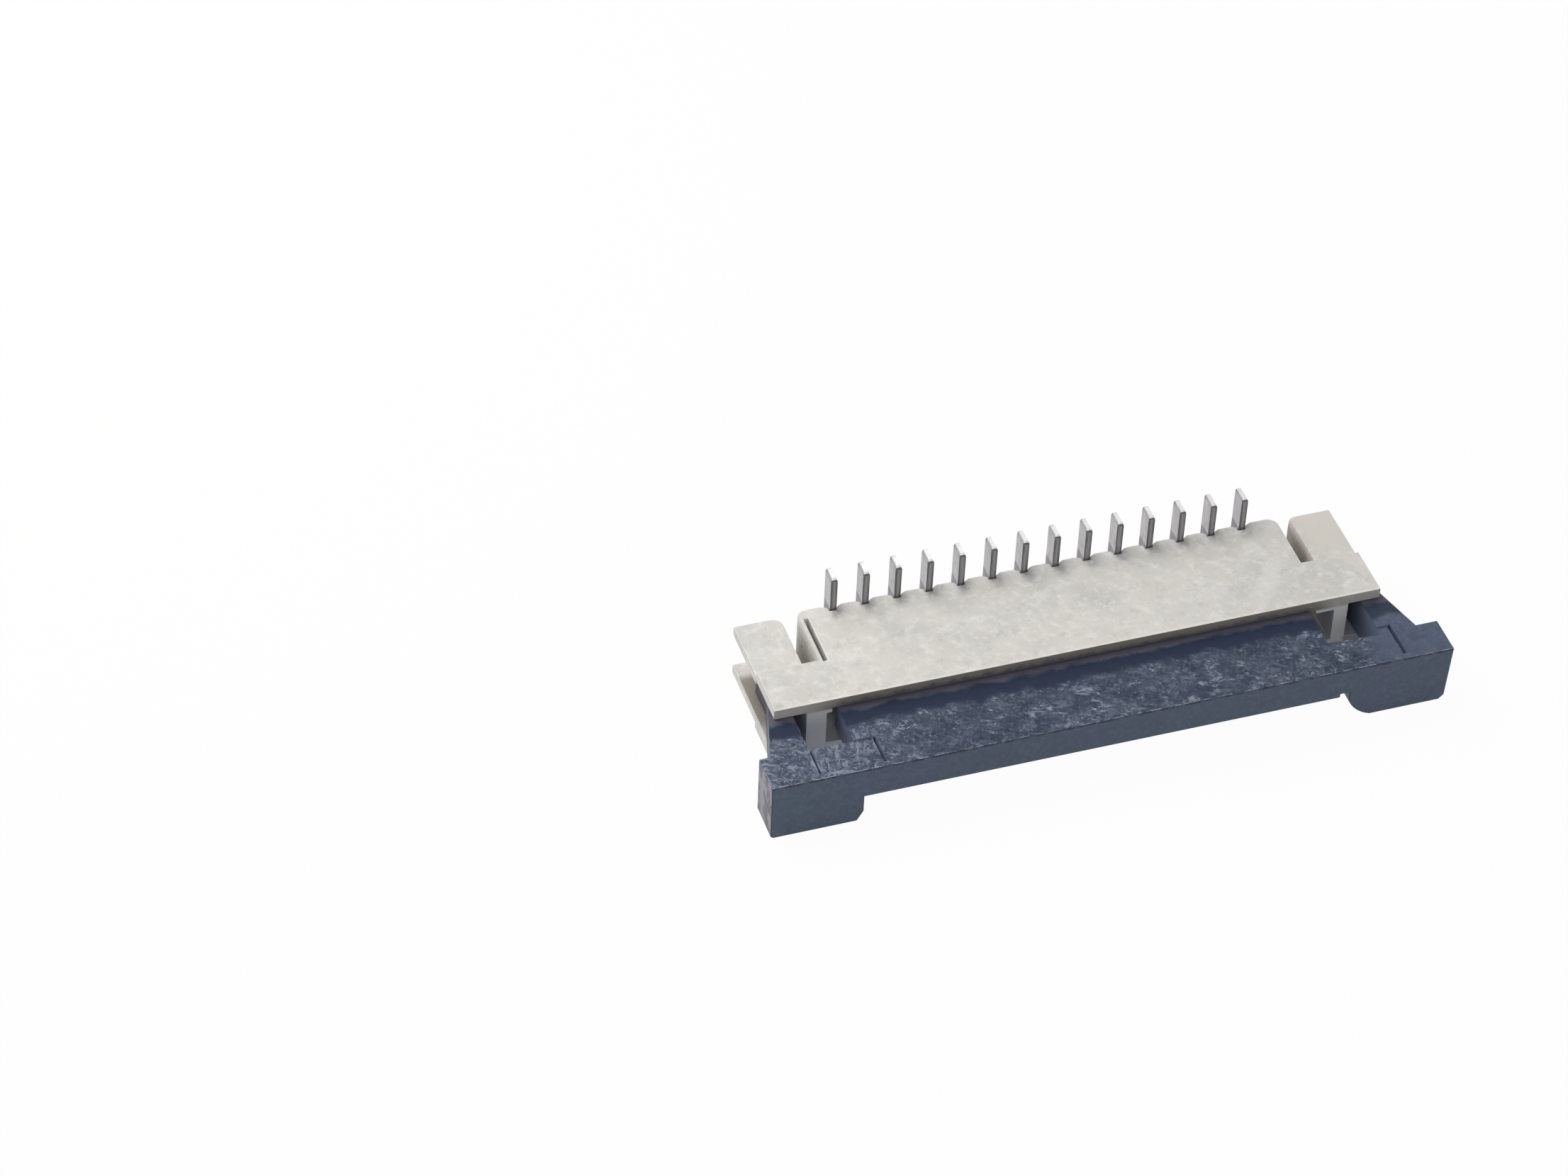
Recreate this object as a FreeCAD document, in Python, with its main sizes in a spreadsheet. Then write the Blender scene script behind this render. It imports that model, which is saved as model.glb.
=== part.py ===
# Right-angle FPC connector with a slider lock, lying on its back with the solder tails up.
# X runs along the contact row, +Y from the cable mouth to the tails, +Z up to the board side.
# The origin is on the floor, under the middle of the row, in the plane of the housing's front.
# All lengths are in millimetres. The slider is drawn out to its open stop.

import FreeCAD, Part
import math
import os
import Sketcher
from types import SimpleNamespace

NODE_FOLDER = "parts"

# Driving dimensions: name, value, meaning.
DIMENSIONS = [
    ("contact_count", 14, "contacts in the row"),
    ("pitch", 1.00, "one contact to the next"),
    ("blade_thickness", 0.21, "stock of the contacts"),

    ("body_height", 2.40, "floor to the board-side face"),
    ("plate_thickness", 0.35, "board-side plate over the cable slot"),
    ("slot_floor", 0.70, "floor to the inner face of the far wall"),
    ("block_margin", 1.14, "end contact to the side of the middle block"),
    ("block_depth", 3.85, "housing front to the rear of the middle block"),
    ("block_corner", 0.33, "radius of the middle block's rear corners"),
    ("slot_width", 0.41, "gap between the middle block and a side wall"),
    ("wall_thickness", 0.45, "side wall"),
    ("flange_reach", 1.00, "flanges beyond the side wall"),
    ("strip_depth", 1.71, "full-width front strip"),
    ("strip_foot", 0.20, "floor to the underside of the strip's ends"),
    ("ear_depth", 3.93, "housing front to the rear of the ears"),
    ("ear_drop", 0.20, "board-side face down to the ears"),
    ("ear_thickness", 0.30, "upper flange of an ear"),
    ("lower_flange", 0.30, "lower flange of an ear"),
    ("ear_corner", 0.33, "radius of an ear's inner rear corner"),
    ("ear_bevel_run", 0.12, "bevel on the right ear's wall of its slot, across"),
    ("ear_bevel_fall", 0.30, "that bevel, downwards"),
    ("block_bevel_run", 0.06, "bevel on the middle block's wall of the left slot, across"),
    ("block_bevel_fall", 0.15, "that bevel, downwards"),
    ("cavity_margin", 0.62, "end contact to the side of the inner cavity"),
    ("rear_wall", 1.10, "wall behind the cavity that holds the contacts"),
    ("mouth_margin", 0.83, "end contact to the end of the mouth bevel"),
    ("mouth_bevel", 0.34, "lead-in at the lip of the far wall"),
    ("slit_inset", 0.17, "side of the middle block to the slit"),
    ("slit_width", 0.14, "narrow slit beside the left slot"),
    ("slit_length", 1.86, "slit, front to back"),
    ("slit_depth", 0.90, "slit, down from the board-side face"),
    ("rib_thickness", 0.25, "stop rib on a side wall"),
    ("haunch_drop", 0.15, "haunches under the plate at the ends of the mouth"),
    ("left_haunch", 0.34, "left haunch, inwards from the side wall"),
    ("right_haunch", 0.60, "right haunch, inwards from the side wall"),
    ("post_step", 0.18, "step on the inner side of the left wall's end"),
    ("post_step_depth", 0.30, "that step, front to back"),

    ("notch_width", 0.27, "notch round a tail"),
    ("notch_depth", 0.22, "notch, in from the rear face"),
    ("notch_height", 0.55, "notch, down from the board-side face"),
    ("notch_flare", 0.09, "fall of the rear edge from a tooth's crest to a notch"),
    ("flare_run", 0.16, "length of that fall along the row"),
    ("shank_gap", 0.01, "each side of a contact in its rear slot"),
    ("slot_roof", 0.40, "board-side face down to the roof of a rear slot"),
    ("groove_gap", 0.03, "each side of a beam in its groove"),
    ("groove_depth", 0.40, "beam groove in the far wall"),
    ("groove_front", 0.45, "housing front to the front of a groove"),

    ("tail_length", 1.20, "tail above the board-side face"),
    ("tail_width", 0.55, "tail, front to back"),
    ("tail_gap", 0.02, "notch wall to the tail"),
    ("tail_foot", 1.30, "floor to the underside of the tail's heel"),
    ("tip_rise", 0.12, "bevels of the tail's chisel tip, up"),
    ("tip_side_run", 0.05, "bevels at the sides of the tip, inwards"),
    ("tip_front_run", 0.08, "bevel at the front of the tip, inwards"),
    ("tip_round", 0.07, "radius of the tip's rear corner"),
    ("seat_gap", 0.03, "contact to the floor and roof of its slot"),
    ("shank_inset", 0.05, "shank behind the cavity and inside the rear face"),
    ("barb_length", 0.26, "retention barb, front to back"),
    ("barb_height", 0.07, "retention barb"),
    ("beam_root", 0.30, "height of the sprung beam at its root"),
    ("beam_tip", 0.15, "height of the sprung beam at its tip"),
    ("beam_lift", 0.10, "tip of the beam above its seat"),
    ("beam_front", 0.62, "housing front to the tip of the beam"),
    ("bump_place", 1.20, "housing front to the contact bump"),
    ("bump_foot", 0.28, "half length of the bump at its foot"),
    ("bump_crest", 0.06, "half length of the bump's crest"),
    ("bump_height", 0.18, "bump above the slot floor"),

    ("slider_travel", 1.32, "open stop to closed"),
    ("slide_gap", 0.02, "slider's face to the board-side plate"),
    ("floor_gap", 0.02, "underside of the end blocks above the floor"),
    ("close_gap", 0.07, "end blocks to the housing when closed"),
    ("bar_depth", 1.27, "front bar and end blocks, front to back"),
    ("bar_thickness", 1.08, "front bar between the end blocks"),
    ("tongue_thickness", 0.93, "wedge tongue at its root"),
    ("tongue_tip", 0.26, "wedge tongue at its tip"),
    ("shoulder_gap", 0.14, "slider's shoulders to the strip's rear when closed"),
    ("tongue_gap", 0.13, "tongue to the side of the cavity"),
    ("tongue_end_gap", 0.35, "tongue to the rear wall when closed"),
    ("left_window_gap", 0.50, "left side wall to the tongue"),
    ("right_window_gap", 0.82, "right side wall to the tongue"),
    ("arm_gap", 0.40, "side wall to an arm"),
    ("rib_gap", 0.03, "stop rib to an arm"),
    ("arm_root", 1.17, "width of an arm at the end block"),
    ("arm_tip", 0.32, "width of an arm inside the housing"),
    ("arm_taper", 2.95, "tapered length of an arm"),
    ("arm_lift", 0.03, "arm above the lower flange"),
    ("arm_drop", 0.04, "arm below the ear"),
    ("arm_end_gap", 0.03, "arm inside the ear's rear edge when closed"),
    ("hook_length", 0.30, "hook at the end of an arm"),
    ("hook_gap", 0.05, "hook to the side wall"),
    ("stop_gap", 0.02, "hook to the stop rib when open"),
    ("left_overhang", 0.33, "left end block beyond its arm"),
    ("right_overhang", 0.69, "right end block beyond its arm"),
    ("left_shoulder", 0.03, "left end block's inner side beyond the tongue"),
    ("right_shoulder", 0.29, "right end block's inner side beyond the tongue"),
    ("left_bevel_run", 0.20, "bevel under the left block's inner side, across"),
    ("left_bevel_rise", 0.35, "bevel under the left block's inner side, up"),
    ("right_round_run", 0.75, "round under the right block's inner side, across"),
    ("right_round_rise", 0.76, "round under the right block's inner side, up"),
    ("right_round", 1.20, "radius of that round"),
    ("relief_depth", 0.13, "small relief beside the right block"),
    ("outer_bevel", 0.16, "bevel under the right block's outer side"),
    ("outer_draft", 0.09, "draft of the right block's outer side"),
    ("outer_edge", 0.07, "bevel under the left block's outer side"),
    ("mark_depth", 0.06, "shallow step in front of a window"),
    ("mark_inset", 0.22, "front of the slider to that step"),
    ("left_mark_reach", 0.65, "left step beyond the window, inwards"),
    ("right_mark_reach", 0.42, "right step beyond the window, outwards"),
    ("right_mark_back", 0.25, "right step behind the front of the window"),
    ("crease_width", 0.06, "narrow crease along the end of a step"),
    ("crease_depth", 0.16, "that crease, down from the top of the slider"),
]


class Size:
    """A length that carries its number and the sheet formula that gives it."""

    def __init__(self, number, formula=None):
        self.number = float(number)
        self.formula = formula if formula else repr(float(number))

    def join(self, other, sign, number):
        text = other.formula if isinstance(other, Size) else repr(float(other))
        return Size(number, f"({self.formula} {sign} {text})")

    def __add__(self, other):
        return self.join(other, "+", self.number + number_of(other))

    def __sub__(self, other):
        return self.join(other, "-", self.number - number_of(other))

    def __mul__(self, other):
        return self.join(other, "*", self.number * number_of(other))

    def __truediv__(self, other):
        return self.join(other, "/", self.number / number_of(other))

    def __neg__(self):
        return Size(-self.number, f"(0 - {self.formula})")


def number_of(value):
    return value.number if isinstance(value, Size) else float(value)


def as_size(value):
    return value if isinstance(value, Size) else Size(value)


def make_sheet(doc):
    """Writes the driving dimensions and returns them as tied sizes."""
    sheet = doc.addObject("Spreadsheet::Sheet", "Sizes")
    tied = SimpleNamespace()
    for row, (name, value, meaning) in enumerate(DIMENSIONS, start=1):
        sheet.set(f"A{row}", name)
        sheet.set(f"B{row}", str(value))
        sheet.set(f"C{row}", meaning)
        sheet.setAlias(f"B{row}", name)
        setattr(tied, name, Size(value, f"Sizes.{name}"))
    return tied


def body_plane(body, role):
    return next(item for item in body.Origin.OriginFeatures if item.Role == role)


def draw_outline(sketch, points):
    """Closes one outline, listed counter-clockwise. A point is (x, y), or (x, y, radius) where an
    outward arc of that radius leads to the next point."""
    first = sketch.GeometryCount
    count = len(points)
    for index, point in enumerate(points):
        start = FreeCAD.Vector(number_of(point[0]), number_of(point[1]), 0)
        after = points[(index + 1) % count]
        end = FreeCAD.Vector(number_of(after[0]), number_of(after[1]), 0)
        if len(point) == 2:
            sketch.addGeometry(Part.LineSegment(start, end), False)
            continue
        radius = number_of(point[2])
        chord = end - start
        sagitta = radius - math.sqrt(radius ** 2 - (chord.Length / 2) ** 2)
        outward = FreeCAD.Vector(chord.y, -chord.x, 0).normalize()
        middle = (start + end) * 0.5 + outward * sagitta
        sketch.addGeometry(Part.Arc(start, middle, end), False)
    for index, point in enumerate(points):
        this = first + index
        follower = first + (index + 1) % count
        sketch.addConstraint(Sketcher.Constraint("Coincident", this, 2, follower, 1))
        tie(sketch, Sketcher.Constraint("DistanceX", -1, 1, this, 1, number_of(point[0])), point[0])
        tie(sketch, Sketcher.Constraint("DistanceY", -1, 1, this, 1, number_of(point[1])), point[1])
        if len(point) == 3:
            tie(sketch, Sketcher.Constraint("Radius", this, number_of(point[2])), point[2])


def tie(sketch, constraint, size):
    index = sketch.addConstraint(constraint)
    sketch.setExpression(f"Constraints[{index}]", as_size(size).formula)


def add_prism(body, kind, name, role, start, length, outlines):
    """Pads or pockets outlines from start to start + length along +X, +Y or +Z."""
    before = body.Shape.Volume if body.Tip else 0.0
    sketch = body.newObject("Sketcher::SketchObject", f"{name}_outline")
    sketch.AttachmentSupport = [(body_plane(body, role), "")]
    sketch.MapMode = "FlatFace"
    for points in outlines:
        draw_outline(sketch, points)
    front_plane = role == "XZ_Plane"
    offset = -as_size(start) if front_plane else as_size(start)
    sketch.setExpression("AttachmentOffset.Base.z", offset.formula)
    sketch.Visibility = False
    feature = body.newObject(f"PartDesign::{kind}", name)
    feature.Profile = sketch
    feature.setExpression("Length", as_size(length).formula)
    feature.Reversed = front_plane if kind == "Pad" else not front_plane
    body.Document.recompute()
    change = body.Shape.Volume - before
    if (change > 0) != (kind == "Pad"):
        raise RuntimeError(f"{name} changed the volume by {change}")
    return feature


def pad(body, name, role, start, length, *outlines):
    return add_prism(body, "Pad", name, role, start, length, outlines)


def pocket(body, name, role, start, length, *outlines):
    return add_prism(body, "Pocket", name, role, start, length, outlines)


def repeat_along_row(body, feature, s):
    """Repeats a pocket at every contact."""
    before = body.Shape.Volume
    pattern = body.newObject("PartDesign::LinearPattern", f"{feature.Name}_row")
    pattern.Originals = [feature]
    pattern.Direction = (body_plane(body, "X_Axis"), [""])
    pattern.Mode = "Spacing"
    pattern.setExpression("Offset", s.pitch.formula)
    pattern.setExpression("Occurrences", s.contact_count.formula)
    body.Tip = pattern
    body.Document.recompute()
    if s.contact_count.number > 1 and body.Shape.Volume >= before:
        raise RuntimeError(f"{feature.Name} didn't repeat")


def box_outline(low_x, high_x, low_y, high_y):
    return [(low_x, low_y), (high_x, low_y), (high_x, high_y), (low_x, high_y)]


def both_sides(low_x, high_x, low_y, high_y):
    """The same rectangle on the left and on the right of the middle plane."""
    return box_outline(-high_x, -low_x, low_y, high_y), box_outline(low_x, high_x, low_y, high_y)


def work_out(s):
    """Places that more than one piece takes from the driving dimensions."""
    s.row_half = (s.contact_count - 1) * s.pitch / 2
    s.block_half = s.row_half + s.block_margin
    s.wall_inner = s.block_half + s.slot_width
    s.wall_outer = s.wall_inner + s.wall_thickness
    s.body_half = s.wall_outer + s.flange_reach
    s.cavity_half = s.row_half + s.cavity_margin
    s.cavity_depth = s.block_depth - s.rear_wall
    s.plate_under = s.body_height - s.plate_thickness
    s.ear_top = s.body_height - s.ear_drop
    s.ear_under = s.ear_top - s.ear_thickness
    s.notch_front = s.block_depth - s.notch_depth
    s.groove_floor = s.slot_floor - s.groove_depth
    s.arm_inner = s.wall_outer + s.arm_gap
    s.arm_end = s.ear_depth - s.slider_travel - s.arm_end_gap
    s.hook_front = s.arm_end - s.hook_length
    s.rib_back = s.hook_front - s.stop_gap
    s.shoulder = s.strip_depth - s.slider_travel - s.shoulder_gap
    return s


def make_housing(doc, s):
    """One insulator moulding: strip, middle block, ears on side walls, cable slot and contact slots."""
    body = doc.addObject("PartDesign::Body", "housing")
    height = s.body_height

    round_start = s.block_half - s.block_corner
    block = [(-s.block_half, 0), (s.block_half, 0),
             (s.block_half, s.block_depth - s.block_corner, s.block_corner), (round_start, s.block_depth),
             (-round_start, s.block_depth, s.block_corner), (-s.block_half, s.block_depth - s.block_corner)]
    pad(body, "middle_block", "XY_Plane", 0, height, block)
    strip = box_outline(-s.body_half, s.body_half, 0, s.strip_depth)
    pad(body, "front_strip", "XY_Plane", s.strip_foot, height - s.strip_foot, strip)

    ear_front = s.strip_depth / 2
    ear_round = s.wall_inner + s.ear_corner
    right_ear = [(s.wall_inner, ear_front), (s.body_half, ear_front), (s.body_half, s.ear_depth),
                 (ear_round, s.ear_depth, s.ear_corner), (s.wall_inner, s.ear_depth - s.ear_corner)]
    left_ear = [(-s.body_half, ear_front), (-s.wall_inner, ear_front),
                (-s.wall_inner, s.ear_depth - s.ear_corner, s.ear_corner), (-ear_round, s.ear_depth),
                (-s.body_half, s.ear_depth)]
    ear_foot = s.slot_floor - s.lower_flange
    pad(body, "ears", "XY_Plane", ear_foot, s.ear_top - ear_foot, left_ear, right_ear)

    channels = both_sides(s.wall_outer, s.body_half + s.flange_reach, s.slot_floor, s.plate_under)
    pocket(body, "arm_channels", "XZ_Plane", 0, s.strip_depth, *channels)
    channels = both_sides(s.wall_outer, s.body_half + s.flange_reach, s.slot_floor, s.ear_under)
    pocket(body, "ear_channels", "XZ_Plane", s.strip_depth, s.ear_depth, *channels)

    entry = mouth_outline(s, s.post_step - s.wall_inner)
    pocket(body, "cable_mouth", "XZ_Plane", 0, s.post_step_depth, entry)
    mouth = mouth_outline(s, -s.wall_inner)
    pocket(body, "mouth_behind_step", "XZ_Plane", s.post_step_depth, s.strip_depth - s.post_step_depth, mouth)
    cavity = box_outline(-s.cavity_half, s.cavity_half, s.slot_floor, s.plate_under)
    pocket(body, "inner_cavity", "XZ_Plane", s.strip_depth, s.cavity_depth - s.strip_depth, cavity)
    lip_half = s.row_half + s.mouth_margin
    lip = [(0, s.slot_floor - s.mouth_bevel), (s.mouth_bevel, s.slot_floor), (0, s.slot_floor)]
    pocket(body, "lip_bevel", "YZ_Plane", -lip_half, lip_half * 2, lip)

    block_side = [(-s.block_half, height - s.block_bevel_fall), (s.block_bevel_run - s.block_half, height),
                  (-s.block_half, height)]
    ear_side = [(s.wall_inner, s.ear_top - s.ear_bevel_fall), (s.wall_inner + s.ear_bevel_run, s.ear_top),
                (s.wall_inner, s.ear_top)]
    pocket(body, "slot_bevels", "XZ_Plane", s.strip_depth, s.ear_depth - s.strip_depth, block_side, ear_side)

    slit_left = s.slit_inset - s.block_half
    slit_front = s.strip_depth - s.slit_width / 2
    slit = box_outline(slit_left, slit_left + s.slit_width, slit_front, slit_front + s.slit_length)
    pocket(body, "slit", "XY_Plane", height - s.slit_depth, s.slit_depth, slit)

    rib_reach = s.arm_inner - s.rib_gap
    ribs = both_sides(s.wall_outer, rib_reach, s.rib_back - s.rib_thickness, s.rib_back)
    pad(body, "stop_ribs", "XY_Plane", s.slot_floor, s.ear_under - s.slot_floor, *ribs)

    first = -s.row_half
    groove_half = s.blade_thickness / 2 + s.groove_gap
    groove = box_outline(first - groove_half, first + groove_half, s.groove_front, s.cavity_depth)
    feature = pocket(body, "beam_groove", "XY_Plane", s.groove_floor, s.groove_depth, groove)
    repeat_along_row(body, feature, s)
    slot_half = s.blade_thickness / 2 + s.shank_gap
    slot_top = height - s.slot_roof
    slot = box_outline(first - slot_half, first + slot_half, s.cavity_depth, s.block_depth)
    feature = pocket(body, "shank_slot", "XY_Plane", s.groove_floor, slot_top - s.groove_floor, slot)
    repeat_along_row(body, feature, s)
    half = s.notch_width / 2
    flare = half + s.flare_run
    flare_front = s.block_depth - s.notch_flare
    notch = [(first - half, s.notch_front), (first + half, s.notch_front), (first + half, flare_front),
             (first + flare, s.block_depth), (first - flare, s.block_depth), (first - half, flare_front)]
    feature = pocket(body, "tail_notch", "XY_Plane", height - s.notch_height, s.notch_height, notch)
    repeat_along_row(body, feature, s)
    return body


def mouth_outline(s, left):
    """The mouth seen from the front, with a haunch under the plate at each end."""
    right = s.wall_inner
    haunch = s.plate_under - s.haunch_drop
    return [(left, s.slot_floor), (right, s.slot_floor), (right, haunch), (right - s.right_haunch, haunch),
            (right - s.right_haunch, s.plate_under), (s.left_haunch - s.wall_inner, s.plate_under),
            (s.left_haunch - s.wall_inner, haunch), (left, haunch)]


def make_slider(doc, s):
    """One actuator moulding: front bar with end blocks, wedge tongue, and two hooked arms."""
    body = doc.addObject("PartDesign::Body", "slider")
    top = s.plate_under - s.slide_gap
    bottom = s.floor_gap
    rear = -(s.slider_travel + s.close_gap)
    front = rear - s.bar_depth
    bar_under = top - s.bar_thickness
    tongue_left = s.left_window_gap - s.wall_inner
    tongue_right = s.wall_inner - s.right_window_gap
    arm_outer = s.arm_inner + s.arm_root

    left_end = -(arm_outer + s.left_overhang)
    right_end = arm_outer + s.right_overhang
    right_foot = right_end - s.outer_draft
    left_inner = tongue_left - s.left_shoulder
    right_inner = tongue_right + s.right_shoulder
    profile = [(left_end, bottom + s.outer_edge), (left_end + s.outer_edge, bottom),
               (left_inner - s.left_bevel_run, bottom), (left_inner, bottom + s.left_bevel_rise),
               (left_inner, bar_under), (tongue_right, bar_under), (tongue_right, bar_under + s.relief_depth),
               (right_inner, bar_under + s.relief_depth),
               (right_inner, bottom + s.right_round_rise, s.right_round),
               (right_inner + s.right_round_run, bottom), (right_foot - s.outer_bevel, bottom),
               (right_foot, bottom + s.outer_bevel), (right_end, top), (left_end, top)]
    pad(body, "front_bar", "XZ_Plane", front, s.bar_depth, profile)

    middle_of_bar = front + s.bar_depth / 2
    tongue_under = top - s.tongue_thickness
    root = box_outline(tongue_left, tongue_right, middle_of_bar, s.shoulder)
    pad(body, "tongue_root", "XY_Plane", tongue_under, s.tongue_thickness, root)
    tongue_half = s.cavity_half - s.tongue_gap
    tip = s.cavity_depth - s.slider_travel - s.tongue_end_gap
    wedge = [(middle_of_bar, tongue_under), (s.shoulder, tongue_under), (tip, top - s.tongue_tip),
             (tip, top), (middle_of_bar, top)]
    pad(body, "wedge", "YZ_Plane", -tongue_half, tongue_half * 2, wedge)

    arm_under = s.slot_floor + s.arm_lift
    arm_top = s.ear_under - s.arm_drop
    taper_end = rear + s.arm_taper
    tip_outer = s.arm_inner + s.arm_tip
    hook = s.wall_outer + s.hook_gap
    right_arm = [(s.arm_inner, middle_of_bar), (arm_outer, middle_of_bar), (arm_outer, rear),
                 (tip_outer, taper_end), (tip_outer, s.arm_end), (hook, s.arm_end), (hook, s.hook_front),
                 (s.arm_inner, s.hook_front)]
    pad(body, "arms", "XY_Plane", arm_under, arm_top - arm_under, mirrored(right_arm), right_arm)
    taper = (s.arm_root - s.arm_tip) / s.arm_taper
    shoulder_outer = arm_outer - taper * (s.shoulder - rear)
    right_cap = [(s.arm_inner, middle_of_bar), (arm_outer, middle_of_bar), (arm_outer, rear),
                 (shoulder_outer, s.shoulder), (s.arm_inner, s.shoulder)]
    cap_foot = arm_top - s.arm_drop
    pad(body, "arm_caps", "XY_Plane", cap_foot, top - cap_foot, mirrored(right_cap), right_cap)

    mark_front = front + s.mark_inset
    left_mark_end = tongue_left + s.left_mark_reach
    left_mark = box_outline(-s.arm_inner, left_mark_end, mark_front, rear)
    right_mark_end = s.arm_inner + s.right_mark_reach
    right_mark = box_outline(tongue_right, right_mark_end, mark_front, rear + s.right_mark_back)
    pocket(body, "window_marks", "XY_Plane", top - s.mark_depth, s.mark_depth, left_mark, right_mark)
    creases = [box_outline(-s.arm_inner, s.crease_width - s.arm_inner, mark_front, rear),
               box_outline(left_mark_end - s.crease_width, left_mark_end, mark_front, rear),
               box_outline(right_mark_end - s.crease_width, right_mark_end, mark_front,
                           rear + s.right_mark_back)]
    pocket(body, "mark_creases", "XY_Plane", top - s.crease_depth, s.crease_depth, *creases)
    return body


def mirrored(points):
    """The outline on the other side of the middle plane, still counter-clockwise."""
    return [(-point[0], point[1]) for point in reversed(points)]


def make_contact(doc, s, number):
    """One stamped contact: sprung beam with its bump, barbed shank, and tail with a chisel tip."""
    body = doc.addObject("PartDesign::Body", f"contact_{number:02d}")
    seat = s.groove_floor + s.seat_gap
    shank_front = s.cavity_depth + s.shank_inset
    shank_back = s.block_depth - s.shank_inset
    barb_top = s.body_height - s.slot_roof - s.seat_gap
    shank_top = barb_top - s.barb_height
    tail_front = s.notch_front + s.tail_gap
    tail_back = tail_front + s.tail_width
    tip = s.body_height + s.tail_length
    beam_top = seat + s.beam_root
    tip_under = seat + s.beam_lift
    tip_top = tip_under + s.beam_tip
    bump_top = s.slot_floor + s.bump_height
    slope = (beam_top - tip_top) / (shank_front - s.beam_front)
    bump_back = s.bump_place + s.bump_foot
    bump_near = s.bump_place - s.bump_foot
    back_height = tip_top + slope * (bump_back - s.beam_front)
    near_height = tip_top + slope * (bump_near - s.beam_front)
    rear_barb = tail_front - s.barb_length / 2
    front_barb = rear_barb - s.barb_length * 1.2

    outline = [(s.beam_front, tip_under), (shank_front, seat), (shank_back, seat), (shank_back, s.tail_foot),
               (tail_back, s.tail_foot + s.tail_width / 2), (tail_back, tip - s.tip_round, s.tip_round),
               (tail_back - s.tip_round, tip), (tail_front + s.tip_front_run, tip),
               (tail_front, tip - s.tip_rise), (tail_front, shank_top), (rear_barb, shank_top),
               (rear_barb, barb_top), (rear_barb - s.barb_length, shank_top), (front_barb, shank_top),
               (front_barb, barb_top), (front_barb - s.barb_length, shank_top), (shank_front, shank_top),
               (shank_front, beam_top), (bump_back, back_height), (s.bump_place + s.bump_crest, bump_top),
               (s.bump_place - s.bump_crest, bump_top), (bump_near, near_height), (s.beam_front, tip_top)]
    side = s.blade_thickness / 2
    pad(body, "blank", "YZ_Plane", -side, s.blade_thickness, outline)
    left_side = [(-side, tip - s.tip_rise), (s.tip_side_run - side, tip), (-side, tip)]
    right_side = [(side, tip - s.tip_rise), (side, tip), (side - s.tip_side_run, tip)]
    pocket(body, "chisel_sides", "XZ_Plane", tail_front, s.tail_width, left_side, right_side)
    place = s.pitch * (number - 1) - s.row_half
    body.setExpression("Placement.Base.x", place.formula)
    return body


def write_nodes(doc, nodes):
    """Checks every object of the document, then writes each piece to its own file."""
    for item in doc.Objects:
        if "Invalid" in item.State or "Error" in item.State:
            raise RuntimeError(f"{item.Name} failed: {item.State}")
    os.makedirs(NODE_FOLDER, exist_ok=True)
    for node in nodes:
        shape = node.Shape
        if shape.isNull() or not shape.isValid() or len(shape.Solids) != 1:
            raise RuntimeError(f"{node.Label} isn't one valid solid")
        shape.exportStep(os.path.join(NODE_FOLDER, f"{node.Label}.step"))
        print(f"{node.Label}: {shape.Volume:.4f} mm3")


def main():
    doc = FreeCAD.newDocument("fpc_connector")
    s = work_out(make_sheet(doc))
    doc.recompute()
    nodes = [make_housing(doc, s), make_slider(doc, s)]
    for number in range(1, round(s.contact_count.number) + 1):
        nodes.append(make_contact(doc, s, number))
    doc.recompute()
    write_nodes(doc, nodes)


main()
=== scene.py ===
# Dresses the flat-cable connector: softened mouldings, tinned contacts, floor, lights and camera.
import math

import bmesh
import bpy
from mathutils import Matrix, Vector


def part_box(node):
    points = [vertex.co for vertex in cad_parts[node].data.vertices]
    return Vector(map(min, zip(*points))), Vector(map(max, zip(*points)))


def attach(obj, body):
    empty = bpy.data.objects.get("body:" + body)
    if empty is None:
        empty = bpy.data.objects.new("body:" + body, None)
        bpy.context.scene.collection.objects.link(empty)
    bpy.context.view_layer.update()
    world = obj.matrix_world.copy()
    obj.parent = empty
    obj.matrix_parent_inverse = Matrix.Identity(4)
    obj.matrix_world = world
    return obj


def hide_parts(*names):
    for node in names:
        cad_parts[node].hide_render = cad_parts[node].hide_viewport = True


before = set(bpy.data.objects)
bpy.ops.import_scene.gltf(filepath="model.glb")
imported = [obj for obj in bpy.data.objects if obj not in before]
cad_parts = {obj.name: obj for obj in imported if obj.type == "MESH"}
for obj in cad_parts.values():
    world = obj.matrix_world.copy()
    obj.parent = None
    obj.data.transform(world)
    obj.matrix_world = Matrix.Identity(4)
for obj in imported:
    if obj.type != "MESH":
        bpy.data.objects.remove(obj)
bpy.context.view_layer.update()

bl_info = {
    "name": "Flat cable connector",
    "version": (1, 0, 0),
    "blender": (4, 5, 0),
    "location": "3D View > Sidebar > Connector",
    "description": "Dresses a board connector for flat cables and sets it on a pale floor",
    "category": "Object",
}

CONTACTS = sorted(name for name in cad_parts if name.startswith("contact_"))
HOUSING_BODY = "housing_body"
SLIDER_BODY = "slider_body"
RIM = "rim"
MICRON = 1e-6
MM = 1e-3
PITCH = 1.0 * MM


# Levels on the pieces, in millimetres, that the finishes are placed by

PLATE_THICKNESS = 0.35
FAR_WALL = 0.70
STRIP_DEPTH = 1.71
TAIL_WIDTH = 0.55


def corners_mm(node):
    """The lowest and the highest corner of a CAD node, in millimetres."""
    return [[value / MM for value in corner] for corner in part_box(node)]


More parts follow.
